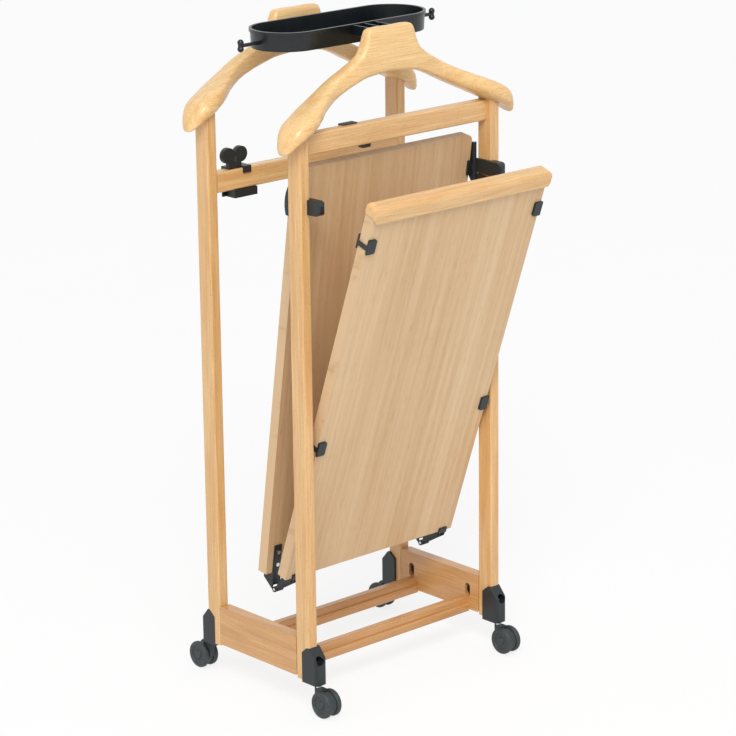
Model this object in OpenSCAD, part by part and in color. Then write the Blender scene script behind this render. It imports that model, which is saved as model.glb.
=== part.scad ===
// Clothes valet stand in beech, with a trouser press between its front posts.
// Origin on the floor under the middle of the whole stand, with its press open.
// +X right, +Y rear, +Z up.

/* [Frame] */
// Width over the posts
frame_w = 420; // [380:2:480]
// Depth over the posts
frame_d = 248; // [236:2:290]
// Post width, seen from the front
post_w = 19; // [18:0.5:24]
// Post depth, seen from the side
post_d = 30; // [28:1:36]
// Height of the post tops, inside the hangers
post_top = 936; // [926:1:943]
// How much higher the rear hanger sits than the front one
rear_rise = 4; // [0:0.5:6]
// Height of the post feet above the floor
post_foot = 53; // [51:1:56]
// Rounding of the wooden edges
edge_r = 3; // [1:0.5:5]

/* [Lower frame] */
// Height of a side board
board_h = 65; // [56:1:80]
// Underside of the side boards above the floor
board_z = 56; // [54:1:60]
// Height of a shoe rail
shoe_rail_h = 26; // [22:1:26]
// Depth of a shoe rail
shoe_rail_d = 20; // [16:1:28]
// Distance between the centres of the two shoe rails
shoe_rail_gap = 124; // [90:2:150]
// Depth of the step along the front of a shoe rail
shoe_step = 5; // [2:0.5:7]

/* [Upper rails] */
// Height of an upper rail
rail_h = 33; // [26:1:40]
// Thickness of an upper rail
rail_t = 20; // [16:1:24]
// Underside of the front upper rail, below the post tops
front_rail_drop = 44; // [41:1:46]
// Underside of the rear upper rail, below the post tops
rear_rail_drop = 134; // [90:1:180]

/* [Hangers] */
// Half the span of a hanger
hanger_half = 241; // [238:1:250]
// How far the neck rises above the post tops
neck_rise = 130; // [126:1:154]
// Half the width of the neck at its top
neck_half = 48; // [44:1:54]
// Thickness of the neck
neck_t = 20; // [18:0.5:24]
// Distance that the neck stands behind the middle of the posts
neck_back = 15; // [13:1:17]

/* [Tray] */
// Width of the tray over its long walls
tray_w = 117; // [100:1:130]
// Length of the tray over its round ends
tray_l = 331; // [300:1:350]
// Height of the tray
tray_h = 30; // [22:1:36]
// How far the tray's rim lies below the tops of the necks
tray_drop = 3; // [0:1:9]
// Distance of the tray's middle behind the middle of the posts
tray_y = 20; // [18:0.5:21]
// Wall and floor thickness of the tray
tray_wall = 3; // [2:0.5:4]

/* [Press] */
// Gap between a post and the side of the press boards
press_side = 9; // [9:0.5:16]
// Thickness of both press boards
press_t = 19; // [16:1:20]
// Top end of the back board, measured from the hinge
back_top = 711; // [705:1:713]
// Top end of the front board's cap rail, measured from the hinge
cap_top = 725; // [717:1:725]
// Lean of the back board towards the front, in degrees
back_lean = 8.5; // [8.2:0.1:8.8]
// Lean of the open front board, in degrees
open_lean = 19.3; // [16:0.1:24]
// Height of the hinge pins
hinge_z = 163; // [162:0.5:165]
// Distance of the hinge pins behind the front posts
hinge_behind = 99.5; // [98.5:0.5:100.5]
// Gap between the hinge pin and the front face of the back board
back_gap = 7.8; // [7.5:0.1:9]
// Diameter of a hinge pin
hinge_pin_d = 4; // [3:0.5:5]
// Length of one hinge
hinge_l = 16.5; // [15:0.5:40]

/* [Latches] */
// Height of a latch lever
lever_h = 23; // [20:1:27]
// Middle of the latch levers, below the post tops
latch_drop = 119; // [117:1:125]
// How far a latch lever stands out before its post
lever_out = 28; // [20:1:34]
// Diameter of a latch pin
latch_pin_d = 3; // [2.5:0.5:3.5]

/* [Casters] */
// Wheel diameter
wheel_d = 44; // [38:1:46]
// Width of one of the twin wheels
wheel_w = 9; // [7:0.5:10]
// Distance of the wheel axle from the swivel axis
trail = 17.5; // [14:0.5:20]
// Diameter of the swivel stem
stem_d = 7; // [6:0.5:7.5]
// Diameter of the wheel axle
axle_d = 6; // [4:0.5:7]

/* [Boots] */
// Width of a boot
boot_w = 22.6; // [20:0.2:26]
// Height of a boot
boot_h = 60; // [54:1:66]
// Underside of a boot
boot_z = 49; // [48:0.5:51]
// How far a boot stands out beyond its post
boot_out = 17; // [15:0.5:20]
// How deep a boot is let into its post
boot_in = 17; // [14:0.5:20]
// Diameter of the frame bolts
bolt_d = 6; // [5:0.5:7]

/* [Hidden] */
$fn = 64;

beech = "#DDB07C";
ply = "#C9A67E";
black = "#252B2D";
wheel_grey = "#3C4243";
zinc = "#C9CCD0";

fit = 0.05;        // radial play of a pin in its hole
run = 0.5;         // side play between moving pieces
eps = 0.01;        // overshoot of a cut
LEFT = -1;
RIGHT = 1;
FRONT = -1;
REAR = 1;

inner_x = frame_w / 2 - post_w;         // inner faces of the posts and side boards
post_y = frame_d / 2 - post_d / 2;      // middle of a post
bay_y = frame_d / 2 - post_d;           // faces of the posts that look into the frame
press_w = 2 * (inner_x - press_side);   // width of both press boards
hinge_y = hinge_behind - bay_y;
neck_top = post_top + neck_rise;
tray_rim = neck_top - tray_drop;
front_rail_z = post_top - front_rail_drop;
rear_rail_z = post_top - rear_rail_drop;
latch_z = post_top - latch_drop;

// ---------- shared shapes ----------

// Sizes are given from the middle of the posts, which lies behind the origin
posts_back = 46.7;
module in_place() {
    translate([0, posts_back, 0]) children();
}

module round_rect(size, r) {
    for (x = [r, size[0] - r], y = [r, size[1] - r]) translate([x, y]) circle(r);
    translate([r, 0]) square([size[0] - 2 * r, size[1]]);
    translate([0, r]) square([size[0], size[1] - 2 * r]);
}

// A plate in the Y-Z plane, from x0 outwards on the given side
module side_plate(side, x0, thickness) {
    translate([side > 0 ? x0 : -x0 - thickness, 0, 0])
        rotate([90, 0, 90]) linear_extrude(thickness) children();
}

module rod_x(x0, x1, d) {
    translate([x0, 0, 0]) rotate([0, 90, 0]) cylinder(d = d, h = x1 - x0);
}

module rod_y(y0, y1, d) {
    translate([0, y0, 0]) rotate([-90, 0, 0]) cylinder(d = d, h = y1 - y0);
}

// ---------- fasteners of the frame ----------

dowel_d = 8;
dowel_l = 30;
hanger_dowel_d = 10;
hanger_dowel_l = 26;
hanger_dowel_up = 14;                   // length of the dowel above the post top

// Height of a dowel above its rail's underside
function dowel_rise(h) = [h * 0.28, h * 0.72];

module rail_dowel_pair(side, y, z, h, d, l, face) {
    for (rise = dowel_rise(h))
        translate([side * face, y, z + rise]) rod_x(-l / 2, l / 2, d);
}

shoe_dowel_up = 2.2;                    // keeps the lower dowels inside the side boards
front_rail_y = -bay_y - rail_t / 2;
rear_rail_y = bay_y + rail_t / 2;

module all_rail_dowels(d, l) {
    for (side = [LEFT, RIGHT]) {
        rail_dowel_pair(side, front_rail_y, front_rail_z, rail_h, d, l, inner_x);
        rail_dowel_pair(side, rear_rail_y, rear_rail_z, rail_h, d, l, inner_x);
        for (end = [FRONT, REAR])
            rail_dowel_pair(side, end * shoe_rail_gap / 2 + shoe_step / 2,
                shoe_rail_z + shoe_dowel_up, shoe_rail_h, d, l, inner_x);
    }
}

module rail_dowels() {
    color(beech) in_place() all_rail_dowels(dowel_d, dowel_l);
}

module rail_dowel_holes() {
    all_rail_dowels(dowel_d + 2 * fit, dowel_l + 2 * fit);
}

hanger_dowel_x = frame_w / 2 - post_w / 2;

function rise(end) = end > 0 ? rear_rise : 0;

module hanger_dowel(d, extra) {
    for (side = [LEFT, RIGHT], end = [FRONT, REAR])
        translate([side * hanger_dowel_x, end * post_y,
            post_top + rise(end) + hanger_dowel_up - hanger_dowel_l - extra])
            cylinder(d = d, h = hanger_dowel_l + 2 * extra);
}

module hanger_dowels() {
    color(beech) in_place() hanger_dowel(hanger_dowel_d, 0);
}

// A connector bolt goes through boot and post into a barrel nut in the side board
bolt_z = 89.5;
bolt_head_d = 11.5;
bolt_head_t = 4;
bolt_seat = frame_d / 2 - 5;            // where the head bears in the boot
bolt_tip = 57;                          // inner end of the bolt
nut_y = 68;                             // middle of a barrel nut
nut_d = 12;
nut_l = 9.5;
nut_pocket = 14.5;                      // depth of its pocket in the side board
nut_slot = 12;                          // extra height of the pocket round the nut

module frame_bolts() {
    color(zinc) in_place() for (side = [LEFT, RIGHT], end = [0, 180])
        translate([side * hanger_dowel_x, 0, bolt_z]) rotate([0, 0, end])
            difference() {
                union() {
                    rod_y(-bolt_seat, -bolt_tip, bolt_d);
                    translate([0, -bolt_seat, 0]) rotate([90, 0, 0])
                        cylinder(d1 = bolt_head_d, d2 = bolt_head_d - 3, h = bolt_head_t);
                }
                translate([0, -bolt_seat - bolt_head_t - eps, 0]) rotate([-90, 30, 0])
                    cylinder(d = 4.6, h = 3, $fn = 6);
            }
}

module barrel_nuts() {
    color(zinc) in_place() for (side = [LEFT, RIGHT], end = [FRONT, REAR])
        translate([side * (inner_x + nut_pocket - nut_l), end * nut_y, bolt_z])
            difference() {
                rod_x(side > 0 ? 0 : -nut_l, side > 0 ? nut_l : 0, nut_d);
                translate([side * (hanger_dowel_x - inner_x - nut_pocket + nut_l), 0, 0])
                    rod_y(-nut_d, nut_d, bolt_d + 2 * fit);
            }
}

module frame_bolt_hole(side, end) {
    translate([side * hanger_dowel_x, 0, bolt_z])
        rod_y(end > 0 ? bolt_tip - 1 : -frame_d, end > 0 ? frame_d : -bolt_tip + 1,
            bolt_d + 2 * fit);
}

// ---------- wooden frame ----------

module post_section() {
    translate([-post_w / 2, -post_d / 2]) round_rect([post_w, post_d], edge_r);
}

module post(side, end) {
    color(beech) in_place() difference() {
        translate([side * hanger_dowel_x, end * post_y, post_foot])
            linear_extrude(post_top + rise(end) - post_foot) post_section();
        mirror([side > 0 ? 0 : 1, 0, 0]) mirror([0, end > 0 ? 0 : 1, 0])
            boot_blank(boot_x0 - post_w, 3 * post_w);
        frame_bolt_hole(side, end);
        rail_dowel_holes();
        hanger_dowel(hanger_dowel_d + 2 * fit, fit);
        if (end == FRONT) bracket_screw_places() screw_hole(bracket_screw_d, bracket_screw_l);
    }
}

module side_board(side) {
    color(beech) in_place() difference() {
        side_plate(side, inner_x, post_w)
            translate([-bay_y, board_z]) round_rect([2 * bay_y, board_h], edge_r);
        for (end = [FRONT, REAR]) {
            frame_bolt_hole(side, end);
            side_plate(side, inner_x - eps, nut_pocket + eps)
                translate([end * nut_y, bolt_z]) {
                    for (dz = [-nut_slot / 2, nut_slot / 2]) translate([0, dz])
                        circle(d = nut_d + 2 * fit);
                    square([nut_d + 2 * fit, nut_slot], center = true);
                }
        }
        rail_dowel_holes();
    }
}

shoe_rail_z = board_z - 4;              // the rails hang a little below the boards
shoe_step_h = 14;                       // height of the lower, thicker part

// Stepped along the front, so that a shoe's heel catches on it
module shoe_rail(end) {
    color(beech) in_place() difference() {
        translate([-inner_x, end * shoe_rail_gap / 2, shoe_rail_z])
            rotate([90, 0, 90]) linear_extrude(2 * inner_x) {
                translate([-shoe_rail_d / 2 + shoe_step, 0])
                    round_rect([shoe_rail_d - shoe_step, shoe_rail_h], edge_r);
                translate([-shoe_rail_d / 2, 0])
                    round_rect([shoe_rail_d, shoe_step_h], edge_r);
            }
        rail_dowel_holes();
    }
}

module upper_rail(y, z) {
    color(beech) in_place() difference() {
        translate([-inner_x, y - rail_t / 2, z]) rotate([90, 0, 90])
            linear_extrude(2 * inner_x) round_rect([rail_t, rail_h], edge_r);
        rail_dowel_holes();
    }
}

// ---------- hangers ----------

// Smooth curve through [x, value] pairs, by cubic pieces with central slopes
function slope(t, i) = let (a = max(i - 1, 0), b = min(i + 1, len(t) - 1))
    (t[b][1] - t[a][1]) / (t[b][0] - t[a][0]);
function piece(t, x) = max([for (i = [0 : len(t) - 2]) if (x >= t[i][0]) i]);
function curve(t, x) = let (
        i = piece(t, x),
        h = t[i + 1][0] - t[i][0],
        u = min((x - t[i][0]) / h, 1)
    ) (2 * u^3 - 3 * u^2 + 1) * t[i][1] + (u^3 - 2 * u^2 + u) * h * slope(t, i)
        + (3 * u^2 - 2 * u^3) * t[i + 1][1] + (u^3 - u^2) * h * slope(t, i + 1);

// Top and underside of one arm, as [distance from the middle, height]
shoulder = neck_top - 35;               // where the neck runs into the arm
arm_top = [[0, neck_top], [neck_half - 10, neck_top], [neck_half - 2, neck_top - 4],
    [neck_half + 4, shoulder + 12], [neck_half + 15, shoulder - 6], [110, post_top + 61],
    [155, post_top + 39], [200, post_top + 20], [228, post_top + 4],
    [hanger_half, post_top - 14]];
arm_bottom = [[0, post_top + 59], [50, post_top + 54], [75, post_top + 46],
    [110, post_top + 30], [155, post_top + 8], [195, post_top - 12],
    [223, post_top - 27], [hanger_half, post_top - 50]];
// Front and rear of one arm, as [distance from the middle, place behind the posts' middle]
arm_front = [[0, neck_back - neck_t / 2], [40, neck_back - neck_t / 2], [60, neck_back - neck_t / 2],
    [110, 6], [144, -6], [176, -26], [205, -33], [hanger_half, -30]];
arm_rear = [[0, neck_back + neck_t / 2], [40, neck_back + neck_t / 2],
    [60, neck_back + neck_t / 2 + 2], [110, 36], [144, 35], [176, 31], [205, 23],
    [hanger_half, 15]];
rear_sweep = 6;                         // how much further back the rear hanger's arms lie
tip_l = 26;                             // length of the rounded tip

// The arm narrows to its tip like the end of an ellipse
function tip_scale(x) = let (t = max(0, (x - hanger_half + tip_l) / tip_l))
    sqrt(max(0.0016, 1 - t * t));
// The neck's edges are squarer than the arms'
function squareness(x) = x < neck_half ? 0.36 : x > 150 ? 0.72
    : 0.36 + 0.36 * (x - neck_half) / (150 - neck_half);

function hanger_ring(x, sides, sweep) = let (
        a = abs(x),
        k = tip_scale(a),
        yc = (curve(arm_front, a) + curve(arm_rear, a)) / 2
            + sweep * min(1, max(0, (a - 60) / 50)),
        zc = (curve(arm_top, a) + curve(arm_bottom, a)) / 2,
        hy = k * (curve(arm_rear, a) - curve(arm_front, a)) / 2,
        hz = k * (curve(arm_top, a) - curve(arm_bottom, a)) / 2,
        q = squareness(a)
    ) [for (i = [0 : sides - 1]) let (w = 360 * i / sides)
        [x, yc + hy * sign(cos(w)) * pow(abs(cos(w)), q),
            zc + hz * sign(sin(w)) * pow(abs(sin(w)), q)]];

half_stations = concat([for (x = [0, 0.55, 0.8]) x * neck_half],
    [for (x = [-4 : 3 : 17]) neck_half + x],
    [for (x = [neck_half + 26 : 15 : hanger_half - tip_l - 6]) x],
    [for (w = [0 : 15 : 90]) hanger_half - tip_l + tip_l * sin(w)]);
stations = concat([for (i = [len(half_stations) - 1 : -1 : 1]) -half_stations[i]],
    half_stations);

module hanger_blank(sweep) {
    sides = 20;
    rings = len(stations);
    points = [for (x = stations) each hanger_ring(x, sides, sweep)];
    polyhedron(points, concat(
        [[for (i = [0 : sides - 1]) i]],
        [for (r = [0 : rings - 2], i = [0 : sides - 1]) let (j = (i + 1) % sides)
            [r * sides + i, (r + 1) * sides + i, (r + 1) * sides + j]],
        [for (r = [0 : rings - 2], i = [0 : sides - 1]) let (j = (i + 1) % sides)
            [r * sides + i, (r + 1) * sides + j, r * sides + j]],
        [[for (i = [sides - 1 : -1 : 0]) (rings - 1) * sides + i]]), convexity = 6);
}

module hanger(end) {
    color(beech) in_place() difference() {
        translate([0, end * post_y, rise(end)])
            hanger_blank(end > 0 ? rear_sweep : 0);
        for (side = [LEFT, RIGHT])
            translate([side * hanger_dowel_x, end * post_y, post_foot])
                linear_extrude(post_top + rise(end) - post_foot) post_section();
        hanger_dowel(hanger_dowel_d + 2 * fit, fit);
        tray_screw_holes();
    }
}

// ---------- tray ----------

// From the tray's middle to the face of the front or rear neck
function neck_reach(end) = post_y + end * (neck_back - tray_y) - neck_t / 2;
tray_z = tray_rim - tray_h;
tray_draft = 1.5;                        // how much the walls lean in towards the floor
tray_half = (tray_l - tray_w) / 2;
lug_x = 24;                             // half the width of a side lug
lug_h = 15;
lug_screw_x = 14;
lug_screw_up = 9;                       // height of the screws above a lug's underside
tray_screw_d = 4;
tray_screw_l = 16;
knob_x = tray_l / 2 + 34.5;
knob_h = 20;
knob_r = 5;
knob_z = tray_z + 12;

// Underside of a lug
function lug_z(end) = tray_z + (end > 0 ? 2 : tray_h - lug_h - 1);

module tray_solid(r_low, r_high, z0, z1) {
    for (side = [LEFT, RIGHT]) translate([side * tray_half, 0, z0])
        cylinder(r1 = r_low, r2 = r_high, h = z1 - z0);
    translate([-tray_half, 0, z0]) rotate([90, 0, 90]) linear_extrude(2 * tray_half)
        polygon([[-r_low, 0], [r_low, 0], [r_high, z1 - z0], [-r_high, z1 - z0]]);
}

module tray() {
    r = tray_w / 2;
    color(black) in_place() translate([0, tray_y, 0]) {
        difference() {
            union() {
                tray_solid(r - 1.5 - tray_draft, r - 1.5, tray_z, tray_rim);
                tray_solid(r, r, tray_rim - 5, tray_rim);
                for (end = [FRONT, REAR]) tray_lug(end);
            }
            tray_solid(r - 1.5 - tray_draft - tray_wall, r - 1.5 - tray_wall,
                tray_z + tray_wall, tray_rim + eps);
            translate([0, -tray_y, 0]) tray_screw_holes();
        }
        for (side = [LEFT, RIGHT]) tray_knob(side);
    }
}

// Flat web beside the tray's wall with an upright foot on the neck
module tray_lug(end) {
    reach = neck_reach(end);
    z0 = lug_z(end);
    y0 = tray_w / 2 - 4;
    mirror([0, end > 0 ? 0 : 1, 0]) {
        translate([-lug_x, y0, z0]) cube([2 * lug_x, reach - y0, tray_wall]);
        translate([-lug_x, reach - tray_wall, z0]) cube([2 * lug_x, tray_wall, lug_h]);
        for (x = [-lug_x, -tray_wall / 2, lug_x - tray_wall])
            translate([x, y0, z0]) cube([tray_wall, reach - y0, lug_h]);
    }
}

// A peg with a knob above and below, to hang ties and belts on
module tray_knob(side) {
    x0 = tray_half + tray_w / 2 - 1.5 - tray_draft;
    translate([0, 0, knob_z]) mirror([side > 0 ? 0 : 1, 0, 0]) rod_x(x0 - 1, knob_x, 6);
    for (dz = [-knob_h / 2 + knob_r, knob_h / 2 - knob_r])
        translate([side * knob_x, 0, knob_z + dz]) sphere(r = knob_r, $fn = 32);
    translate([side * knob_x, 0, knob_z - knob_h / 2 + knob_r])
        cylinder(r = knob_r - 1, h = knob_h - 2 * knob_r);
}

// Places of the tray's screws, on the faces of its lugs and pointing into the necks
module at_tray_screws() {
    for (end = [FRONT, REAR], x = [-lug_screw_x, lug_screw_x])
        translate([x, tray_y + end * (neck_reach(end) - tray_wall),
            lug_z(end) + lug_screw_up])
            rotate([-90 * end, 0, 0]) children();
}

module tray_screws() {
    color(zinc) in_place() at_tray_screws() screw(tray_screw_d, tray_screw_l);
}

module tray_screw_holes() {
    at_tray_screws() screw_hole(tray_screw_d, tray_screw_l);
}

// ---------- boots ----------

boot_x0 = frame_w / 2 - boot_w;         // inner side of a boot
boot_y0 = frame_d / 2 - boot_in;        // face against the post
boot_y1 = frame_d / 2 + boot_out;       // outer face
boot_slope_z = boot_z + 42;             // where the slope runs into the outer face
boot_r = 5;
boot_peak = 5;                          // how far the boot's top lies inside the post
boot_shoulder = 10;                     // how far the top slopes down behind that
stem_y = frame_d / 2 + 10;
stem_x = frame_w / 2 - boot_w / 2;
socket_h = 30;

// A boot's outline, seen from the side, from x0 over the given width
module boot_blank(x0, width) {
    translate([x0, 0, boot_z]) rotate([90, 0, 90]) linear_extrude(width)
        polygon([[boot_y0, 0], [boot_y1, 0], [boot_y1, boot_slope_z - boot_z],
            [boot_y1 - 3, boot_slope_z - boot_z + 1.5], [frame_d / 2, boot_h],
            [frame_d / 2 - boot_peak, boot_h], [boot_y0, boot_h - boot_shoulder]]);
}

module boot(side, end) {
    color(black) in_place() mirror([side > 0 ? 0 : 1, 0, 0]) mirror([0, end > 0 ? 0 : 1, 0])
        difference() {
            intersection() {
                boot_blank(boot_x0, boot_w);
                translate([boot_x0, boot_y0 - boot_r, 0]) linear_extrude(boot_z + boot_h + 1)
                    round_rect([boot_w, boot_y1 - boot_y0 + boot_r], boot_r);
            }
            translate([hanger_dowel_x, 0, bolt_z]) {
                rod_y(bolt_seat, boot_y1 + 1, bolt_head_d + 3);
                rod_y(boot_y0 - 1, boot_y1, bolt_d + 2 * fit);
            }
            translate([stem_x, stem_y, boot_z - 1])
                cylinder(d = stem_d + 2 * fit, h = socket_h + 1);
        }
}

// ---------- casters ----------

collar_h = 4;                           // stem collar between boot and caster
body_t = 9.6;                           // thickness of the body between the wheels
body_top = boot_z - collar_h;
wheel_x = body_t / 2 + run;             // inner face of a wheel

// Puts a caster in place, with the wheels trailing outwards
module at_caster(side, end) {
    translate([side * stem_x, end * stem_y, 0]) mirror([0, end > 0 ? 0 : 1, 0]) children();
}

module caster_body(side, end) {
    color(black) in_place() at_caster(side, end) difference() {
        union() {
            translate([-body_t / 2, 0, 0]) rotate([90, 0, 90]) linear_extrude(body_t) {
                translate([trail, wheel_d / 2]) circle(d = wheel_d - 7);
                translate([-body_t / 2, wheel_d / 2]) square([trail, body_top - wheel_d / 2]);
            }
            translate([0, 0, wheel_d / 2]) cylinder(d = body_t, h = body_top - wheel_d / 2);
        }
        translate([-body_t, trail, wheel_d / 2]) rod_x(0, 2 * body_t, axle_d + 2 * fit);
        translate([0, 0, wheel_d / 2 + 4]) cylinder(d = stem_d + 2 * fit, h = body_top);
    }
}

module caster_stem(side, end) {
    color(zinc) in_place() at_caster(side, end) {
        translate([0, 0, wheel_d / 2 + 4])
            cylinder(d = stem_d, h = boot_z + socket_h - 1 - wheel_d / 2 - 4);
        translate([0, 0, body_top]) cylinder(d = stem_d + 3, h = collar_h - 0.2);
    }
}

// Twin wheels with a rounded tread, a dished face and a raised hub cap
module caster_wheels(side, end) {
    r = wheel_d / 2;
    color(wheel_grey) in_place() at_caster(side, end) translate([0, trail, r])
        for (turn = [0, 180]) rotate([0, 0, turn]) translate([wheel_x, 0, 0])
            rotate([0, 90, 0]) rotate_extrude() polygon(concat(
                [[axle_d / 2, 0], [r - 2, 0], [r, 2], [r, wheel_w - 4]],
                [for (w = [15 : 15 : 90]) [r - 4 + 4 * cos(w), wheel_w - 4 + 4 * sin(w)]],
                [[r * 0.66, wheel_w], [r * 0.6, wheel_w - 1.6], [r * 0.34, wheel_w - 1.6],
                    [r * 0.3, wheel_w], [0, wheel_w], [0, wheel_w - 2],
                    [axle_d / 2, wheel_w - 2]]));
}

module caster_axle(side, end) {
    reach = wheel_x + wheel_w - 2;
    color(zinc) in_place() at_caster(side, end) translate([0, trail, wheel_d / 2])
        rod_x(-reach, reach, axle_d);
}

// ---------- press: boards ----------

front_gap = 11.9;                       // from hinge pin to the front board's rear face
back_foot = 27;                         // lower end of the back board, from the hinge
front_foot = 43;                        // lower end of the front board
cap_h = 28;
cap_proud = 7;                          // how far the cap stands before the front board
cap_lip = 9;                            // how far the cap laps over the board
cap_half = press_w / 2 + 2;
board_top_r = 10;

// Frame of a press board: Z along the board, -Y out of its front face
module on_board(lean) {
    translate([0, hinge_y, hinge_z]) rotate([lean, 0, 0]) children();
}

module board_outline(z0, z1, r) {
    w = press_w / 2;
    translate([-w, z0]) square([press_w, z1 - z0 - r]);
    translate([-w + r, z1 - r - eps]) square([press_w - 2 * r, r + eps]);
    for (side = [LEFT, RIGHT]) translate([side * (w - r), z1 - r]) circle(r);
}

module press_back_board() {
    color(ply) in_place() difference() {
        on_board(back_lean) translate([0, back_gap + press_t, 0]) rotate([90, 0, 0])
            linear_extrude(press_t) board_outline(back_foot, back_top, board_top_r);
        bracket_screw_places() screw_hole(bracket_screw_d, bracket_screw_l);
        at_back_screws() screw_hole(hinge_screw_d, hinge_screw_l);
    }
}

module press_front_board() {
    color(ply) in_place() difference() {
        on_board(open_lean) translate([-press_w / 2, -front_gap - press_t, front_foot])
            cube([press_w, press_t, cap_top - cap_h + cap_lip - front_foot]);
        at_front_screws() screw_hole(hinge_screw_d, hinge_screw_l);
    }
}

// Rounded hardwood rail glued over the front board's top edge
module press_cap_rail() {
    depth = press_t + cap_proud;
    z0 = cap_top - cap_h;
    color(beech) in_place() on_board(open_lean)
        difference() {
            intersection() {
                translate([-cap_half, -front_gap - depth, z0]) rotate([90, 0, 90])
                    linear_extrude(2 * cap_half) cap_section(depth, cap_h);
                translate([0, front_gap + depth, z0]) rotate([90, 0, 0])
                    linear_extrude(3 * depth)
                        translate([-cap_half, 0]) round_rect([2 * cap_half, cap_h], 9);
            }
            translate([-cap_half - 1, -front_gap - press_t, z0 - 1])
                cube([2 * cap_half + 2, press_t + 1, cap_lip + 1]);
        }
}

module cap_section(depth, height) {
    r = 11;
    translate([r, height - r]) circle(r);
    translate([depth - 5, height - 5]) circle(5);
    translate([r, height - 2 * r]) square([depth - r - 5, 2 * r]);
    translate([depth - 5 - eps, 0]) square([5 + eps, height - 5]);
    translate([3, 0]) square([depth - 3, height - r]);
    translate([3, 3]) circle(3);
    translate([0, 3]) square([depth, height - r - 3]);
}

// ---------- press: pads on the front board ----------

pad_over = 1.5;                         // how far a pad stands out beyond the edge
pad_w = 16;
pad_h = 24;
pad_t = 4;
pad_back_t = 3;
pad_back_w = 12;
upper_pad_s = 657;                      // pad centres, measured from the hinge
lower_pad_s = 294;

module pad_outline(w, h) {
    r = 3;
    translate([r, -h / 2]) square([w - r, h]);
    translate([0, -h / 2 + r]) square([r + eps, h - 2 * r]);
    for (dz = [-h / 2 + r, h / 2 - r]) translate([r, dz]) circle(r);
}

// A clip pushed over the board's edge: front pad, narrow web and rear pad
module pad(side, s) {
    edge = press_w / 2;
    on_board(open_lean) mirror([side > 0 ? 0 : 1, 0, 0]) translate([0, 0, s]) {
        translate([edge + pad_over - pad_w, -front_gap - press_t, 0]) rotate([90, 0, 0])
            linear_extrude(pad_t) pad_outline(pad_w, pad_h);
        translate([edge + pad_over - pad_back_w, -front_gap + pad_back_t, 0])
            rotate([90, 0, 0]) linear_extrude(pad_back_t) pad_outline(pad_back_w, pad_h);
        translate([edge, -front_gap - press_t - pad_t / 2, -6])
            cube([pad_over, press_t + pad_t / 2 + pad_back_t / 2, 8]);
    }
}

module press_pads() {
    color(black) in_place() for (side = [LEFT, RIGHT], s = [lower_pad_s, upper_pad_s]) pad(side, s);
}

// ---------- press: hinges ----------

leaf_t = 3;
side_t = 2;                             // thickness of the V-shaped side plates
play = 0.3;                             // side play between the plates of both leaves
barrel_d = 9;
root = barrel_d / 2 - 0.4;              // the plates' edges start inside the barrel
hinge_x1 = press_w / 2 - 13;            // outer end of a hinge
hinge_x0 = hinge_x1 - hinge_l;
strap_w = 14;                           // width of the strap on the back board
strap_low = 5.5;                        // lower end of the strap, from the pin
strap_h = 48;                           // how far the strap climbs its board
back_drop = 14;                         // how far the back plates reach below the board
front_lip_h = 10;
front_drop = 5;                         // how far the front plates reach below their board
stop_w = 9;                             // width of the stop under the front leaf
stop_root = 1.5;                        // half its width at the pin
stop_gap = 0.3;
hinge_screw_d = 3.5;
hinge_screw_l = 14;
screw_head_t = 1.8;

// The same plate at both ends of a hinge, inset from the end
module end_plates(side, inset) {
    for (x = [hinge_x0 + inset, hinge_x1 - inset - side_t]) side_plate(side, x, side_t) children();
}

module hinge_back_leaf(side) {
    color(black) in_place() difference() {
        on_board(back_lean) {
            side_plate(side, hinge_x1 - strap_w, strap_w)
                translate([back_gap - leaf_t, strap_low])
                    square([leaf_t, back_foot + strap_h - strap_low]);
            side_plate(side, hinge_x0, hinge_l)
                translate([back_gap - leaf_t, back_foot - leaf_t])
                    square([press_t + leaf_t, leaf_t]);
            end_plates(side, 0) {
                circle(d = barrel_d);
                polygon([[0, -root], [back_gap + press_t, back_foot - back_drop],
                    [back_gap + press_t, back_foot], [back_gap - leaf_t, back_foot],
                    [back_gap - leaf_t, strap_low], [root, 0]]);
                hinge_stop();
            }
        }
        on_board(back_lean) rod_x(-hinge_x1 - 1, hinge_x1 + 1, hinge_pin_d);
        at_back_screws() screw_hole(hinge_screw_d, hinge_screw_l);
    }
}

// Arm of a back plate, under the front leaf, that stops the open front board
module hinge_stop() {
    stop_z = front_foot - leaf_t - stop_gap;
    rotate(open_lean - back_lean)
        polygon([[0, -stop_root], [-front_gap - press_t, stop_z - front_drop],
            [-front_gap - press_t, stop_z], [-front_gap - press_t + stop_w, stop_z],
            [0, stop_root]]);
}

module hinge_front_leaf(side) {
    color(black) in_place() difference() {
        on_board(open_lean) {
            side_plate(side, hinge_x0, hinge_l) {
                translate([-front_gap - press_t - leaf_t, front_foot - leaf_t])
                    square([press_t + leaf_t, leaf_t]);
                translate([-front_gap - press_t - leaf_t, front_foot - leaf_t])
                    square([leaf_t, front_lip_h]);
            }
            end_plates(side, side_t + play)
                polygon([[0, -root], [root, 0], [0, root],
                    [-front_gap, front_foot - leaf_t / 2],
                    [-front_gap - press_t - leaf_t, front_foot - leaf_t / 2],
                    [-front_gap - press_t - leaf_t, front_foot - leaf_t - front_drop]]);
            side_plate(side, hinge_x0 + side_t + play, hinge_l - 2 * (side_t + play))
                circle(d = barrel_d);
        }
        on_board(open_lean) rod_x(-hinge_x1 - 1, hinge_x1 + 1, hinge_pin_d + 2 * fit);
        at_front_screws() screw_hole(hinge_screw_d, hinge_screw_l);
    }
}

module hinge_pins() {
    color(zinc) in_place() on_board(0) for (side = [LEFT, RIGHT])
        mirror([side > 0 ? 0 : 1, 0, 0]) rod_x(hinge_x0, hinge_x1, hinge_pin_d);
}

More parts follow.
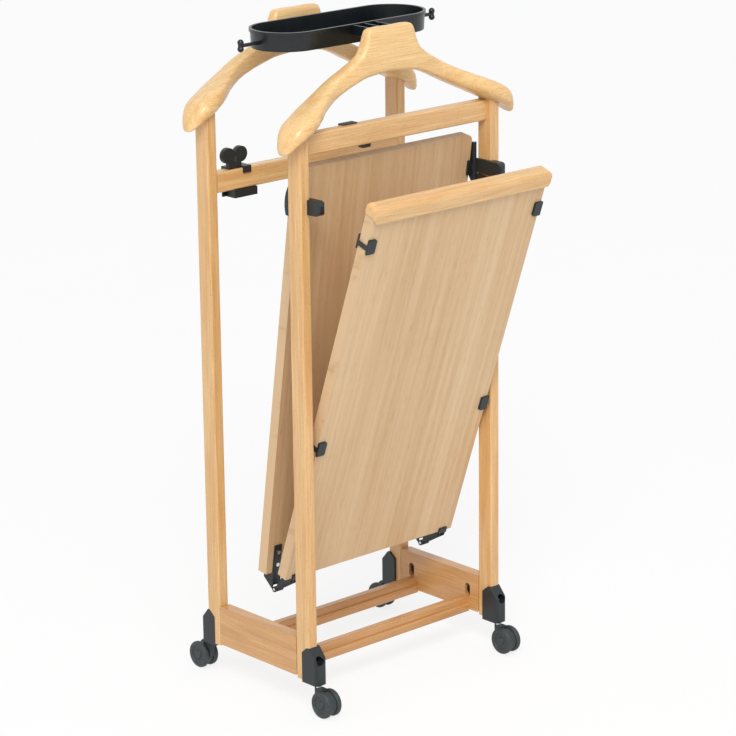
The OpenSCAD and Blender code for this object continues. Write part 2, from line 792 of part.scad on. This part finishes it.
// Places of the screws that hold the leaves to the two boards
module at_back_screws() {
    for (side = [LEFT, RIGHT], rise = [0.3, 0.75])
        on_board(back_lean) translate([side * (hinge_x1 - strap_w / 2), back_gap - leaf_t,
            back_foot + rise * strap_h]) rotate([-90, 0, 0]) children();
}

module at_front_screws() {
    for (side = [LEFT, RIGHT]) on_board(open_lean)
        translate([side * (hinge_x0 + hinge_x1) / 2, -front_gap - press_t / 2,
            front_foot - leaf_t]) children();
}

module screw(d, length) {
    translate([0, 0, -screw_head_t / 2]) cylinder(d = d, h = length + screw_head_t / 2);
    translate([0, 0, -screw_head_t]) cylinder(d = d + 3, h = screw_head_t);
}

module screw_hole(d, length) {
    translate([0, 0, -1]) cylinder(d = d + 2 * fit, h = length + 1 + fit);
}

module back_leaf_screws() {
    color(zinc) in_place() at_back_screws() screw(hinge_screw_d, hinge_screw_l);
}

module front_leaf_screws() {
    color(zinc) in_place() at_front_screws() screw(hinge_screw_d, hinge_screw_l);
}

// ---------- press: brackets and latches ----------

latch_y = -bay_y + 3.5;                 // latch pin, just inside the post
latch_x = inner_x - 3.6;
latch_barrel_d = 7;
lever_z0 = latch_z - lever_h / 2;
lever_z1 = latch_z + lever_h / 2;
foot_z = lever_z0 - 15;                 // lower end of the bracket's foot
finger_z = lever_z1 + 26;               // upper end of the bracket's finger
cheek_t = 4.6;
link_x = press_w / 2 + 2;               // inner side of the links to the pin
flange_t = 2.8;
flange_front = -bay_y - 24;
flange_low = latch_z - 51;
flange_screw_y = 9;
flange_screw_z = 8;
flange_screw_gap = 16;
bracket_screw_d = 3.5;
bracket_screw_l = 16;
lip_t = 4;
lip_w = [6, 12];                        // widths of the front and the rear lip
clip_h = 24;

// Place of the clip along the back board, at the height of the levers
clip_s = (latch_z - 4 - hinge_z - back_gap * sin(back_lean)) / cos(back_lean);
clip_round = 55;                        // radius of the cheek's round rear edge
clip_behind = 5;                        // how far it stands behind the board
cheek_h = 46;                           // height of the cheek

module bracket_screw_places() {
    for (side = [LEFT, RIGHT]) mirror([side > 0 ? 0 : 1, 0, 0]) {
        for (z = [flange_low + flange_screw_z, flange_low + flange_screw_z + flange_screw_gap])
            translate([inner_x - flange_t, flange_front + flange_screw_y, z]) rotate([0, 90, 0]) children();
        on_board(back_lean) translate([press_w / 2 - 6, back_gap + press_t + lip_t, clip_s])
            rotate([90, 0, 0]) children();
    }
}

module bracket_screws() {
    color(zinc) in_place() bracket_screw_places() screw(bracket_screw_d, bracket_screw_l);
}

// Clip round the back board's edge, forked to hold the latch pin and
// reaching down to a flange that is screwed to the post
module press_bracket(side) {
    edge = press_w / 2;
    rear = back_gap + press_t;
    color(black) in_place() difference() {
        union() {
            on_board(back_lean) {
                side_plate(side, edge, cheek_t) {
                    translate([back_gap - lip_t, clip_s - clip_h / 2])
                        square([press_t + 2 * lip_t, clip_h]);
                    intersection() {
                        translate([rear + clip_behind - clip_round, clip_s]) circle(clip_round);
                        translate([rear - 6, clip_s - cheek_h / 2]) square([30, cheek_h]);
                    }
                }
                side_plate(side, edge - lip_w[0], lip_w[0] + eps)
                    translate([back_gap - lip_t, clip_s - clip_h / 2]) square([lip_t, clip_h]);
                side_plate(side, edge - lip_w[1], lip_w[1] + eps)
                    translate([rear, clip_s - clip_h / 2]) square([lip_t, clip_h]);
            }
            side_plate(side, link_x, latch_x - link_x) {
                polygon([[latch_y, lever_z1 + run], [latch_y, finger_z],
                    [latch_y + 4, finger_z], [latch_y + 12, lever_z1],
                    [latch_y + 12, latch_z], [latch_y + 4.2, latch_z],
                    [latch_y + 4.2, lever_z1 + run]]);
                polygon([[latch_y, foot_z], [latch_y, lever_z0 - run],
                    [latch_y + 4.2, lever_z0 - run], [latch_y + 4.2, latch_z],
                    [latch_y + 12, latch_z], [latch_y + 12, lever_z0 - 4],
                    [latch_y + 5, foot_z]]);
            }
            translate([side * latch_x, latch_y, 0]) {
                translate([0, 0, foot_z])
                    cylinder(d = latch_barrel_d, h = lever_z0 - run - foot_z);
                translate([0, 0, lever_z1 + run])
                    cylinder(d = latch_barrel_d, h = finger_z - lever_z1 - run);
            }
            side_plate(side, inner_x - flange_t, flange_t)
                polygon([[latch_y, foot_z], [latch_y, lever_z0 - 1],
                    [flange_front, lever_z0 - 4], [flange_front, flange_low],
                    [latch_y - 5, flange_low]]);
        }
        translate([side * latch_x, latch_y, foot_z - 1])
            cylinder(d = latch_pin_d, h = finger_z - foot_z + 2);
        translate([side * latch_x, latch_y, lever_z0 - run])
            cylinder(d = latch_barrel_d + 2 * run, h = lever_h + 2 * run);
        bracket_screw_places() screw_hole(bracket_screw_d, bracket_screw_l);
    }
}

module latch_pins() {
    color(zinc) in_place() for (side = [LEFT, RIGHT]) translate([side * latch_x, latch_y, foot_z])
        cylinder(d = latch_pin_d, h = finger_z - foot_z);
}

lever_arm = 27;                         // length of the thin arm
lever_thin = 4;                         // thickness of the arm beside the post
hook_inner = press_w / 2 + 2.2;         // inner face of the lever's thick end
hook_from = latch_y - lever_arm;              // the thick end begins here
lever_end = -frame_d / 2 - lever_out;
lever_r = 5;

// Arm beside the post with a thick end, whose inner step catches the front pads
module latch_lever(side) {
    outer = inner_x + 7;
    arm = inner_x - 0.1;
    front = -frame_d / 2 - 0.8;
    color(black) in_place() difference() {
        intersection() {
            translate([0, 0, lever_z0]) linear_extrude(lever_h)
                mirror([side > 0 ? 0 : 1, 0]) {
                    translate([latch_x, latch_y]) circle(d = latch_barrel_d);
                    translate([arm - lever_thin, hook_from - 1])
                        square([lever_thin, latch_y - hook_from + 1]);
                    translate([hook_inner, front]) square([arm - hook_inner, hook_from - front]);
                    translate([hook_inner, lever_end + lever_r])
                        square([outer - hook_inner, front - lever_end - lever_r]);
                    for (x = [hook_inner + lever_r, outer - lever_r])
                        translate([x, lever_end + lever_r]) circle(lever_r);
                    translate([hook_inner + lever_r, lever_end])
                        square([outer - hook_inner - 2 * lever_r, lever_r + eps]);
                }
            side_plate(side, 0, frame_w) {
                translate([lever_end + 10, lever_z0]) square([80, lever_h]);
                for (z = [lever_z0 + 10, lever_z1 - 10])
                    translate([lever_end + 10, z]) circle(10);
                translate([lever_end, lever_z0 + 10]) square([12, lever_h - 20]);
            }
        }
        translate([side * latch_x, latch_y, lever_z0 - 1])
            cylinder(d = latch_pin_d + 2 * fit, h = lever_h + 2);
    }
}

// ---------- hooks on the upper rails ----------

hook_x = 39 - inner_x;                  // middle of the two lobes
hook_plate = 3;
lobe_r = 12.5;
lobe_t = 8;
lobe_up = 22;                           // centre of the lobes above the rear rail
tab_w = 15;                             // width of the tab before the rail
tab_h = 8;
strip_l = 46;                           // length of the strip below the rail
strip_h = 13;

// Moulded saddle over the rear rail with a pair of round lobes for belts above it
module rail_hook() {
    y0 = bay_y + hook_plate;
    y1 = bay_y + rail_t;
    z1 = rear_rail_z + rail_h;
    tab_x = hook_x + lobe_r;
    strip_x = hook_x - 6;
    color(black) in_place() difference() {
        union() {
            translate([0, y0 + lobe_t, 0]) rotate([90, 0, 0]) linear_extrude(lobe_t) {
                for (side = [LEFT, RIGHT]) translate([hook_x + side * lobe_r, z1 + lobe_up])
                    circle(lobe_r);
                translate([hook_x - lobe_r, z1]) square([2 * lobe_r, lobe_up]);
            }
            translate([hook_x - lobe_r, y0, z1])
                cube([2 * lobe_r, rail_t, hook_plate]);
            translate([tab_x - eps, bay_y - hook_plate, z1])
                cube([tab_w, rail_t + 2 * hook_plate, hook_plate]);
            translate([tab_x, bay_y - hook_plate, z1 - tab_h])
                cube([tab_w - eps, hook_plate, tab_h + hook_plate]);
            translate([hook_x - lobe_r, y1, rear_rail_z - strip_h])
                cube([2 * lobe_r, hook_plate, rail_h + strip_h + hook_plate]);
            translate([strip_x, bay_y - 2, rear_rail_z - strip_h])
                cube([strip_l, rail_t + 2 + hook_plate, strip_h]);
        }
        translate([0, y0 + lobe_t + 1, 0]) rotate([90, 0, 0]) linear_extrude(lobe_t + 2)
            translate([hook_x - 2, z1 + 11]) round_rect([6, 9], 2.5);
    }
}

// Small clip gripping the front rail from behind, with a thin lip on its top
module rail_clip() {
    y1 = -bay_y;
    x0 = -106;
    color(black) in_place() {
        translate([x0, y1, front_rail_z]) cube([60, hook_plate, 10]);
        translate([x0 + 3, y1, front_rail_z]) cube([28, hook_plate, rail_h + 2]);
        translate([x0 + 3, y1 - 10, front_rail_z + rail_h]) cube([28, 10 + hook_plate, 2]);
        translate([x0 + 44, y1, front_rail_z - 8]) cube([16, hook_plate, 12]);
        translate([x0 + 44, y1 - 8, front_rail_z - 8]) cube([16, 8 + eps, 8]);
    }
}

// ---------- the whole stand ----------

post(LEFT, FRONT);  // post_front_left
post(RIGHT, FRONT);  // post_front_right
post(LEFT, REAR);  // post_rear_left
post(RIGHT, REAR);  // post_rear_right
side_board(LEFT);  // side_board_left
side_board(RIGHT);  // side_board_right
shoe_rail(FRONT);  // shoe_rail_front
shoe_rail(REAR);  // shoe_rail_rear
upper_rail(front_rail_y, front_rail_z);  // upper_rail_front
upper_rail(rear_rail_y, rear_rail_z);  // upper_rail_rear
rail_dowels();
hanger(FRONT);  // hanger_front
hanger(REAR);  // hanger_rear
hanger_dowels();
tray();
tray_screws();
boot(LEFT, FRONT);  // boot_front_left
boot(RIGHT, FRONT);  // boot_front_right
boot(LEFT, REAR);  // boot_rear_left
boot(RIGHT, REAR);  // boot_rear_right
frame_bolts();
barrel_nuts();
caster_body(LEFT, FRONT);  // caster_body_front_left
caster_body(RIGHT, FRONT);  // caster_body_front_right
caster_body(LEFT, REAR);  // caster_body_rear_left
caster_body(RIGHT, REAR);  // caster_body_rear_right
caster_stem(LEFT, FRONT);  // caster_stem_front_left
caster_stem(RIGHT, FRONT);  // caster_stem_front_right
caster_stem(LEFT, REAR);  // caster_stem_rear_left
caster_stem(RIGHT, REAR);  // caster_stem_rear_right
caster_wheels(LEFT, FRONT);  // caster_wheels_front_left
caster_wheels(RIGHT, FRONT);  // caster_wheels_front_right
caster_wheels(LEFT, REAR);  // caster_wheels_rear_left
caster_wheels(RIGHT, REAR);  // caster_wheels_rear_right
caster_axle(LEFT, FRONT);  // caster_axle_front_left
caster_axle(RIGHT, FRONT);  // caster_axle_front_right
caster_axle(LEFT, REAR);  // caster_axle_rear_left
caster_axle(RIGHT, REAR);  // caster_axle_rear_right
press_back_board();
press_bracket(LEFT);  // press_bracket_left
press_bracket(RIGHT);  // press_bracket_right
latch_lever(LEFT);  // latch_lever_left
latch_lever(RIGHT);  // latch_lever_right
latch_pins();
bracket_screws();
hinge_back_leaf(LEFT);  // hinge_back_leaf_left
hinge_back_leaf(RIGHT);  // hinge_back_leaf_right
hinge_front_leaf(LEFT);  // hinge_front_leaf_left
hinge_front_leaf(RIGHT);  // hinge_front_leaf_right
hinge_pins();
back_leaf_screws();
front_leaf_screws();
press_front_board();
press_cap_rail();
press_pads();
rail_hook();
rail_clip();
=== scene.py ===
import math

import bpy
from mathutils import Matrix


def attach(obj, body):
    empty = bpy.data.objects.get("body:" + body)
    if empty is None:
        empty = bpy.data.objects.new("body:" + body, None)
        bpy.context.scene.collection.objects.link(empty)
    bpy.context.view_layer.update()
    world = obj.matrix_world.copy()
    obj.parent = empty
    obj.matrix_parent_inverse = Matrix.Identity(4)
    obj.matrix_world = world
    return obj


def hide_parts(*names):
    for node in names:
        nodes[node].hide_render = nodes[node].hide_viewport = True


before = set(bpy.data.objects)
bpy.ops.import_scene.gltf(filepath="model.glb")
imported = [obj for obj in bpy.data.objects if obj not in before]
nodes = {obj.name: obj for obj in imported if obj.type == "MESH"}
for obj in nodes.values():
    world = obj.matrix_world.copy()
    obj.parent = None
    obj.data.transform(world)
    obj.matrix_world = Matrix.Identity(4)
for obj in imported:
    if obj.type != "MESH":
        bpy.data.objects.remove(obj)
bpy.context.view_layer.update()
bpy.ops.object.select_all(action="DESELECT")

# Posts: steamed beech, planed, sanded and lacquered satin, with rounded edges. The eye sees
# fine straight grain, growth bands about 10 mm apart and the short dark flecks of beech,
# up to 4 mm long.
corners = ["front_left", "front_right", "rear_left", "rear_right"]


def srgb(code):
    """Linear colour of a hex code."""
    parts = [int(code[i : i + 2], 16) / 255 for i in (1, 3, 5)]
    return [p / 12.92 if p <= 0.04045 else ((p + 0.055) / 1.055) ** 2.4 for p in parts] + [1.0]


def add(tree, kind, settings=None, links=None):
    """A new node with its settings, and links from the sockets given."""
    made = tree.nodes.new(kind)
    for key, value in (settings or {}).items():
        if key == "stops":
            for stop, (position, code) in zip(made.color_ramp.elements, value):
                stop.position = position
                stop.color = srgb(code)
        elif isinstance(key, int) or key in made.inputs:
            made.inputs[key].default_value = value
        else:
            setattr(made, key, value)
    for key, socket in (links or {}).items():
        tree.links.new(socket, made.inputs[key])
    return made


def new_material(name, settings):
    """A plain material: itself, its node tree and its surface shader."""
    made = bpy.data.materials.new(name)
    made.use_nodes = True
    tree = made.node_tree
    tree.nodes.clear()
    shader = add(tree, "ShaderNodeBsdfPrincipled", settings)
    add(tree, "ShaderNodeOutputMaterial", links={"Surface": shader.outputs["BSDF"]})
    return made, tree, shader


def pattern(tree, cells, tones, stops, detail, roughness, distortion=0.0, under=None, share=1.0):
    """A cloudy pattern between two tones, its cells in mm on X, Y and Z.

    Where a colour lies under it, that colour is multiplied by the pattern, by the share
    given. Returns the height of the pattern, from 0 to 1, and the colour.
    """
    where = add(tree, "ShaderNodeTexCoord").outputs["Object"]
    per_metre = [1000 / size for size in cells]
    mapped = add(tree, "ShaderNodeMapping", {"Scale": per_metre}, {"Vector": where})
    noise = add(
        tree,
        "ShaderNodeTexNoise",
        {"Scale": 1.0, "Detail": detail, "Roughness": roughness, "Distortion": distortion},
        {"Vector": mapped.outputs["Vector"]},
    )
    height = noise.outputs["Fac"]
    toned = add(tree, "ShaderNodeValToRGB", {"stops": zip(stops, tones)}, {"Fac": height})
    colour = toned.outputs["Color"]
    if under is not None:
        laid_over = add(
            tree,
            "ShaderNodeMix",
            {"data_type": "RGBA", "blend_type": "MULTIPLY", 0: share},
            {6: under, 7: colour},
        )
        colour = laid_over.outputs[2]
    return height, colour


def finish(tree, shader, colour, height=None, strength=0.0, depth=0.0):
    """Gives a surface its colour and, where asked, a relief with its depth in mm."""
    tree.links.new(colour, shader.inputs["Base Color"])
    if height is not None:
        relief = add(
            tree,
            "ShaderNodeBump",
            {"Strength": strength, "Distance": depth / 1000},
            {"Height": height},
        )
        tree.links.new(relief.outputs["Normal"], shader.inputs["Normal"])


def beech(name, axis, dark, light):
    """Lacquered beech with its grain along an axis, between two hex colours."""
    made, tree, shader = new_material(
        name, {"Roughness": 0.4, "Coat Weight": 0.5, "Coat Roughness": 0.24}
    )

    def along(across, length):
        return [length if letter == axis else across for letter in "XYZ"]

    bands = along(across=10.53, length=200)
    lines = along(across=1.11, length=62.5)
    flecks = along(across=0.77, length=3.85)
    _, wood = pattern(
        tree, bands, (dark, light), (0.30, 0.70), detail=3.0, roughness=0.55, distortion=0.6
    )
    height, wood = pattern(
        tree,
        lines,
        tones=("#E9DCCB", "#FFFFFF"),
        stops=(0.35, 0.62),
        detail=2.0,
        roughness=0.6,
        under=wood,
        share=0.8,
    )
    _, wood = pattern(
        tree,
        flecks,
        tones=("#FFFFFF", "#C89A66"),
        stops=(0.66, 0.72),
        detail=1.0,
        roughness=0.4,
        under=wood,
        share=0.55,
    )
    finish(tree, shader, wood, height, strength=0.25, depth=0.1)
    return made


def dress(name, material, edge=None):
    """Gives a CAD node its material, smooth shading and, where asked, edges rounded in mm."""
    node = nodes[name]
    node.data.materials.clear()
    node.data.materials.append(material)
    bpy.context.view_layer.objects.active = node
    node.select_set(True)
    smooth_below = 32
    if edge:
        smooth_below = 35
        bpy.ops.object.modifier_add(type="BEVEL")
        rounding = node.modifiers[-1]
        rounding.width = edge / 1000
        rounding.segments = 2
        rounding.limit_method = "ANGLE"
        rounding.angle_limit = math.radians(40)
    bpy.ops.object.shade_smooth_by_angle(angle=math.radians(smooth_below))
    node.select_set(False)


upright_beech = beech("beech_upright", "Z", "#D9A86C", "#E6BF86")
for corner in corners:
    dress("post_" + corner, upright_beech)

# Side boards and shoe rails: the same beech, painted darker as shade, since the light from
# above is weaker low down; the shoe rails darkest. The boards are bolted between the posts,
# their edges only broken by sandpaper, and the stepped rails join the boards.
shaded_board_beech = beech("board_beech_painted_shade", "Y", "#C89459", "#D8A76E")
shaded_shoe_beech = beech("shoe_beech_painted_shade", "X", "#C08B52", "#D2A067")
for side in ["left", "right"]:
    dress("side_board_" + side, shaded_board_beech, edge=1.5)
for end in ["front", "rear"]:
    dress("shoe_rail_" + end, shaded_shoe_beech)

# Upper rails: beech strips between the tops of the posts, with the grain along them, their
# beech painted lighter than the posts as light from above. The hidden dowels that hold all
# four rails are of the same wood.
light_painted_upper_beech = beech("upper_beech_painted_light", "X", "#DBAB70", "#E9C48C")
for end in ["front", "rear"]:
    dress("upper_rail_" + end, light_painted_upper_beech)
dress("rail_dowels", light_painted_upper_beech)

# Boots: black nylon blocks let into the feet of the posts, with the small radii of a
# moulding. The fine grain of the mould is drawn coarser than it is, so that it shows.


def moulded_nylon(name, cell, tones, detail, fineness, strength, depth, roughness):
    """Nylon from a grained mould, the cells and depth of its grain in mm."""
    made, tree, shader = new_material(name, {"Roughness": roughness})
    grit = [cell] * 3
    height, tone = pattern(tree, grit, tones, (0.3, 0.7), detail=detail, roughness=fineness)
    finish(tree, shader, tone, height, strength, depth)
    return made


nylon = moulded_nylon(
    "black_nylon",
    cell=0.714,
    tones=("#14191B", "#22292C"),
    detail=2.0,
    fineness=0.6,
    strength=0.3,
    depth=0.1,
    roughness=0.42,
)
for corner in corners:
    dress("boot_" + corner, nylon, edge=1.2)

# Frame bolts: turned steel, zinc plated, bright and faintly mottled. Each goes through a
# boot and a post into a barrel nut of the side board.


def plated_steel(name, tones, roughness):
    """Steel with a thin plating, mottled by cells of about 3 mm."""
    made, tree, shader = new_material(name, {"Metallic": 1.0, "Roughness": roughness})
    mottle = [2.86] * 3
    _, tone = pattern(tree, mottle, tones, (0.3, 0.7), detail=2.0, roughness=0.5)
    finish(tree, shader, tone)
    return made


zinc = plated_steel("zinc_plated_steel", ("#D5D8DA", "#EEF0F1"), 0.3)
dress("frame_bolts", zinc)

# Barrel nuts: turned steel, let into the inner faces of the side boards. Their steel is
# painted nearly black as shade, for the shadow deep in their slots.
dark = plated_steel("steel_painted_pocket_shade", ("#26282A", "#36393B"), 0.4)
dress("barrel_nuts", dark)

# Casters: dark grey nylon, a little lighter, coarser and duller than the fittings. Stem
# and axle are zinc plated steel.
caster_nylon = moulded_nylon(
    "caster_nylon",
    cell=1.43,
    tones=("#23292B", "#3A4244"),
    detail=3.0,
    fineness=0.65,
    strength=0.35,
    depth=0.2,
    roughness=0.55,
)
for corner in corners:
    dress("caster_body_" + corner, caster_nylon)
    dress("caster_wheels_" + corner, caster_nylon)
    dress("caster_stem_" + corner, zinc)
    dress("caster_axle_" + corner, zinc)

# Hangers: each is shaped from one piece of beech and sanded smooth, its beech painted lighter
# than the posts as light from above. The CAD form is remeshed finely and its facets are
# smoothed away. Dowels hold it on the posts.
light_painted_hanger_beech = beech("hanger_beech_painted_light", "X", "#E3B778", "#F2D096")
remesh_size = 0.002
for end in ["front", "rear"]:
    nodes["hanger_" + end].data.materials.clear()
    nodes["hanger_" + end].data.materials.append(light_painted_hanger_beech)
    shoulder = nodes["hanger_" + end].copy()
    shoulder.data = nodes["hanger_" + end].data.copy()
    shoulder.name = "shaped_hanger_" + end
    bpy.context.collection.objects.link(shoulder)
    shoulder.parent = None
    bpy.context.view_layer.objects.active = shoulder
    shoulder.select_set(True)
    bpy.ops.object.modifier_add(type="REMESH")
    shoulder.modifiers[-1].mode = "VOXEL"
    shoulder.modifiers[-1].voxel_size = remesh_size
    shoulder.modifiers[-1].use_smooth_shade = True
    bpy.ops.object.modifier_apply(modifier=shoulder.modifiers[-1].name)
    bpy.ops.object.modifier_add(type="SMOOTH")
    shoulder.modifiers[-1].factor = 0.5
    shoulder.modifiers[-1].iterations = 5
    bpy.ops.object.modifier_apply(modifier=shoulder.modifiers[-1].name)
    shoulder.select_set(False)
    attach(shoulder, "frame")
    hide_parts("hanger_" + end)
dress("hanger_dowels", upright_beech)

# Tray: the same black nylon from a polished mould, so it shines softly, with the faint
# waves of a cooling moulding. Screws hold its lugs on the necks of the hangers.
polished_nylon = moulded_nylon(
    "polished_black_nylon",
    cell=16.67,
    tones=("#0B1012", "#12181B"),
    detail=2.0,
    fineness=0.5,
    strength=0.12,
    depth=0.4,
    roughness=0.3,
)
dress("tray", polished_nylon, edge=0.8)
dress("tray_screws", zinc)

# Press boards: plywood faced with beech veneer under a thin matt lacquer, paler and greyer
# than the frame, with upright streaks and fine pores. The pattern hardly changes through
# the thickness (Y), so the leaning boards keep their streaks whole.
veneer, tree, shader = new_material("beech_veneer", {"Roughness": 0.5})
figure = (71.4, 2000, 1111)
streaks = (9.09, 667, 455)
pores = (1.11, 50, 22.2)
_, board = pattern(
    tree,
    figure,
    tones=("#CFAD82", "#DCBE97"),
    stops=(0.30, 0.70),
    detail=3.0,
    roughness=0.5,
    distortion=0.6,
)
_, board = pattern(
    tree,
    streaks,
    tones=("#E8DAC8", "#FFFFFF"),
    stops=(0.32, 0.62),
    detail=3.0,
    roughness=0.5,
    distortion=0.5,
    under=board,
    share=0.5,
)
_, board = pattern(
    tree,
    pores,
    tones=("#FFFFFF", "#C29C72"),
    stops=(0.58, 0.72),
    detail=2.0,
    roughness=0.5,
    under=board,
    share=0.35,
)
finish(tree, shader, board)
dress("press_back_board", veneer, edge=0.8)
dress("press_front_board", veneer, edge=0.8)

# Cap rail: moulded from solid beech and glued over the front board's top edge, with its
# grain along it and the lighter tone of the upper rails, painted light from above.
dress("press_cap_rail", light_painted_upper_beech)

# Hinges and pads: black nylon leaves, with zinc plated pins and screws, and the four
# nylon pads on the edges of the front board.
for side in ["left", "right"]:
    dress("hinge_back_leaf_" + side, nylon)
    dress("hinge_front_leaf_" + side, nylon)
for name in ["hinge_pins", "back_leaf_screws", "front_leaf_screws"]:
    dress(name, zinc)
dress("press_pads", nylon, edge=0.8)

# Brackets and latches: nylon mouldings, the brackets screwed to the front posts round the
# back board, and the levers turning on pins in them.
for side in ["left", "right"]:
    dress("press_bracket_" + side, nylon, edge=0.6)
    dress("latch_lever_" + side, nylon, edge=1.0)
for name in ["bracket_screws", "latch_pins"]:
    dress(name, zinc)

# Belt hook and clip: nylon mouldings pushed on the rear and the front upper rail, with
# the same grain and small radii as the boots.
dress("rail_hook", nylon, edge=1.0)
dress("rail_clip", nylon, edge=1.0)

# Studio floor: matt white paper. The camera sees it mostly white, and the shadow of
# the stand stays on it.


def seen_rays(tree):
    """1 for rays of the camera, and for those it sees in metal and in glass."""
    path = add(tree, "ShaderNodeLightPath").outputs
    mirrored = add(
        tree,
        "ShaderNodeMath",
        {"operation": "MAXIMUM"},
        {0: path["Is Glossy Ray"], 1: path["Is Transmission Ray"]},
    )
    either = add(
        tree,
        "ShaderNodeMath",
        {"operation": "MAXIMUM"},
        {0: path["Is Camera Ray"], 1: mirrored.outputs["Value"]},
    )
    return either.outputs["Value"]


floor_size = 40
bpy.ops.mesh.primitive_plane_add(size=floor_size, location=(0, 0, 0))
floor = bpy.context.object
floor.name = "studio_floor"
paper, tree, shader = new_material("white_paper_floor", {"Roughness": 0.9})
fibre = [333] * 3
_, tone = pattern(
    tree, fibre, ("#FAFAFA", "#FCFCFC"), (0.3, 0.7), detail=4.0, roughness=0.5
)
finish(tree, shader, tone)
seen_white = 0.8
share = add(
    tree, "ShaderNodeMath", {"operation": "MULTIPLY", 1: seen_white}, {0: seen_rays(tree)}
)
white = add(tree, "ShaderNodeEmission", {"Color": srgb("#FFFFFF"), "Strength": 1.0})
sheet = add(
    tree,
    "ShaderNodeMixShader",
    links={0: share.outputs["Value"], 1: shader.outputs["BSDF"], 2: white.outputs["Emission"]},
)
surface = tree.nodes["Material Output"].inputs["Surface"]
tree.links.new(sheet.outputs["Shader"], surface)
floor.data.materials.append(paper)
floor.select_set(False)

# Background: white to the camera and in reflections, and a plain soft room to all else,
# so that the shadows stay open.
world = bpy.data.worlds.new("white_studio")
bpy.context.scene.world = world
world.use_nodes = True
tree = world.node_tree
tree.nodes.clear()
room = add(tree, "ShaderNodeBackground", {"Color": srgb("#FBFCFD"), "Strength": 0.62})
white = add(tree, "ShaderNodeBackground", {"Color": srgb("#FFFFFF"), "Strength": 1.0})
sky = add(
    tree,
    "ShaderNodeMixShader",
    links={0: seen_rays(tree), 1: room.outputs["Background"], 2: white.outputs["Background"]},
)
add(tree, "ShaderNodeOutputWorld", links={"Surface": sky.outputs["Shader"]})

# Lights: a broad key and a soft bank, both above and before the stand on its left.
key_turn = [math.radians(angle) for angle in (47, 0, -46)]
bpy.ops.object.light_add(type="SUN", location=(-2, -2, 3), rotation=key_turn)
key = bpy.context.object
key.name = "key_light"
key.data.energy = 1.0
key.data.angle = math.radians(24)
key.select_set(False)
bank_turn = [math.radians(angle) for angle in (53, 0, -39)]
bpy.ops.object.light_add(type="AREA", location=(-1.2, -1.5, 2.4), rotation=bank_turn)
bank = bpy.context.object
bank.name = "soft_bank"
bank.data.size = 1.2
bank.data.energy = 26
bank.select_set(False)

# Camera: at the photograph's angle, about 4.9 m away with a long lens.
camera_place = (-3.15332, -3.47047, 1.86999)
camera_turn = [math.radians(angle) for angle in (73.8119, 0.6636, -42.3856)]
bpy.ops.object.camera_add(location=camera_place, rotation=camera_turn)
camera = bpy.context.object
camera.name = "photo_camera"
camera.data.lens = 149.88
camera.data.sensor_width = 36.0
bpy.context.scene.camera = camera
bpy.context.scene.view_settings.view_transform = "Standard"
